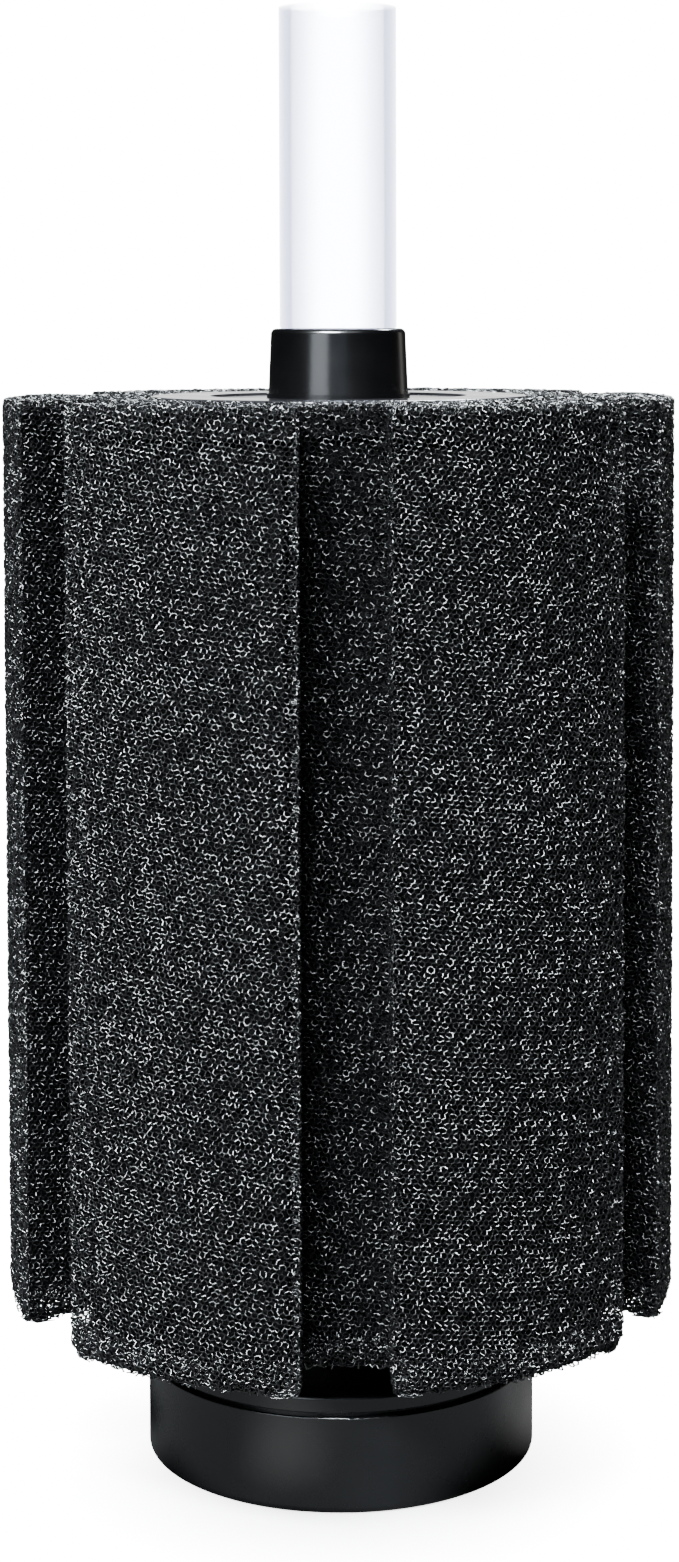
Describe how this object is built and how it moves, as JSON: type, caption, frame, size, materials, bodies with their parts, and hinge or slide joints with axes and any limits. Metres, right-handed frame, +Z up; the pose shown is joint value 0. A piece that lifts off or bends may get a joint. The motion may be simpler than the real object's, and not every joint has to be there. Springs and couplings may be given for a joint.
{
  "type": "sponge filter",
  "caption": "Fluted foam cylinder on a slotted core, standing on a round weighted base, with a flat top disc, a tapered collar and an open clear lift tube.",
  "frame": {"origin": "centre of the base's underside, where the filter stands on the floor of the tank", "axes": "+Z up along the core and the lift tube; -Y towards the viewer, through the middle of a flute"},
  "size_m": [0.12, 0.1192, 0.26],
  "materials": {
    "base_plastic": "satin",
    "ballast": "matte",
    "lid_plastic": "satin",
    "core_plastic": "satin",
    "foam": "matte",
    "disc_plastic": "gloss",
    "collar_plastic": "gloss",
    "seal_rubber": "matte",
    "clear_plastic": "gloss"
  },
  "bodies": {
    "base": {"base_cup": "base_plastic", "ballast_ring": "ballast", "base_lid": "lid_plastic"},
    "core": {"core_foot": "core_plastic", "core_tube": "core_plastic"},
    "foam": {"sponge": "foam"},
    "cap": {"top_disc": "disc_plastic", "collar": "collar_plastic", "seal_ring": "seal_rubber"},
    "tube": {"lift_tube": "clear_plastic"}
  },
  "joints": [
    {"name": "core_lift", "type": "slide", "parent": "base", "child": "core", "axis": [0, 0, 1], "range_m": [0, 0.016]},
    {"name": "sponge_lift", "type": "slide", "parent": "core", "child": "foam", "axis": [0, 0, 1], "range_m": [0, 0.162]},
    {"name": "cap_lift", "type": "slide", "parent": "foam", "child": "cap", "axis": [0, 0, 1], "range_m": [0, 0.018]},
    {"name": "tube_lift", "type": "slide", "parent": "cap", "child": "tube", "axis": [0, 0, 1], "range_m": [0, 0.025]}
  ]
}
